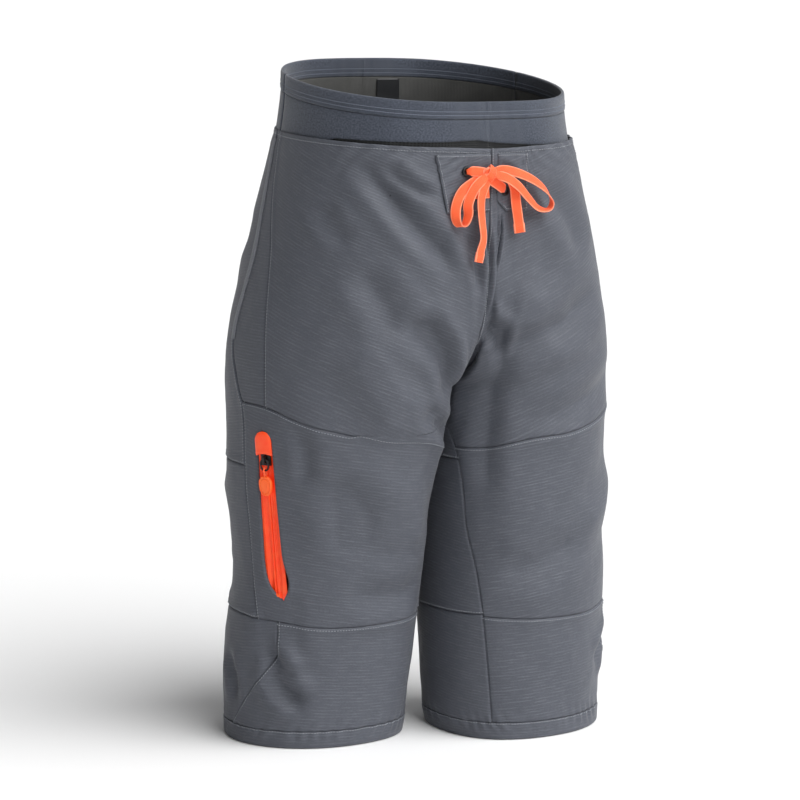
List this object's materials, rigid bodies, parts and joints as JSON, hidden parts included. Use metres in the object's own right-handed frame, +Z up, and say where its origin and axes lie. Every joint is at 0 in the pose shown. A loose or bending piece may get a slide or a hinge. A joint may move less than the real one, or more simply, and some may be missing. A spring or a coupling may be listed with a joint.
{
  "type": "padded impact shorts",
  "caption": "Knee-length shorts with a laced fly, a stretch waistband, a zipped thigh pocket and an inner liner that holds foam impact pads.",
  "frame": {"origin": "on the floor under the middle of the shorts as they stand on their hems", "axes": "+Z up from the hems to the waist, -Y out of the front, +X to the wearer's left"},
  "size_m": [0.3777, 0.2627, 0.6447],
  "materials": {
    "shell_nylon": "thin ribbed woven nylon with a faint sheen",
    "knit_band": "matt stretch knit",
    "liner_cloth": "matt dark lining",
    "pad_foam": "soft covered foam",
    "lace_webbing": "flat woven lace",
    "zip_tape": "coated tape",
    "orange_moulding": "moulded, satin",
    "dark_metal": "dark enamel"
  },
  "bodies": {
    "shorts": {"back_knee_left": "shell_nylon", "back_knee_right": "shell_nylon", "back_thigh_left": "shell_nylon", "back_thigh_right": "shell_nylon", "back_upper_left": "shell_nylon", "back_upper_right": "shell_nylon", "blank_label": "liner_cloth", "eyelet_left_lower": "dark_metal", "eyelet_left_upper": "dark_metal", "eyelet_right_lower": "dark_metal", "eyelet_right_upper": "dark_metal", "fly_facing": "shell_nylon", "front_knee_left": "shell_nylon", "front_knee_right": "shell_nylon", "front_thigh_left": "shell_nylon", "front_thigh_right": "shell_nylon", "front_upper_left": "shell_nylon", "front_upper_right": "shell_nylon", "hand_pocket_bag_left": "liner_cloth", "hand_pocket_bag_right": "liner_cloth", "hem_band_left": "shell_nylon", "hem_band_right": "shell_nylon", "hip_pad_left": "pad_foam", "hip_pad_right": "pad_foam", "lace_knot": "lace_webbing", "lace_loop_left": "lace_webbing", "lace_loop_right": "lace_webbing", "lace_lower_run": "lace_webbing", "lace_tail_left": "lace_webbing", "lace_tail_right": "lace_webbing", "lace_upper_run": "lace_webbing", "lacing_patch_left": "shell_nylon", "lacing_patch_right": "shell_nylon", "liner_left": "liner_cloth", "liner_right": "liner_cloth", "pocket_welt_left": "shell_nylon", "pocket_welt_right": "shell_nylon", "side_wedge_left": "shell_nylon", "side_wedge_right": "shell_nylon", "tailbone_pad": "pad_foam", "thigh_pad_left": "pad_foam", "thigh_pad_right": "pad_foam", "thigh_pocket_bag": "liner_cloth", "waistband_lower_back": "knit_band", "waistband_lower_front": "knit_band", "waistband_upper_back": "knit_band", "waistband_upper_front": "knit_band", "zip_bottom_stop": "orange_moulding", "zip_garage": "orange_moulding", "zip_tape_back": "zip_tape", "zip_tape_front": "zip_tape"},
    "slider": {"zip_slider": "dark_metal"},
    "ring": {"pull_ring": "dark_metal"},
    "tab": {"pull_cord": "zip_tape", "pull_tab": "orange_moulding"}
  },
  "joints": [
    {"name": "zip_slide", "type": "slide", "parent": "shorts", "child": "slider", "axis": [0.0872, 0, -0.9962], "range_m": [0, 0.1223]},
    {"name": "ring_hinge", "type": "hinge", "parent": "slider", "child": "ring", "pos_m": [-0.18308, -0.01506, 0.27867], "axis": [-0.4228, 0.9054, -0.037], "range_deg": [0, 120]},
    {"name": "tab_hinge", "type": "hinge", "parent": "ring", "child": "tab", "pos_m": [-0.18221, -0.01506, 0.26871], "axis": [-0.4228, 0.9054, -0.037], "range_deg": [0, 55]}
  ]
}
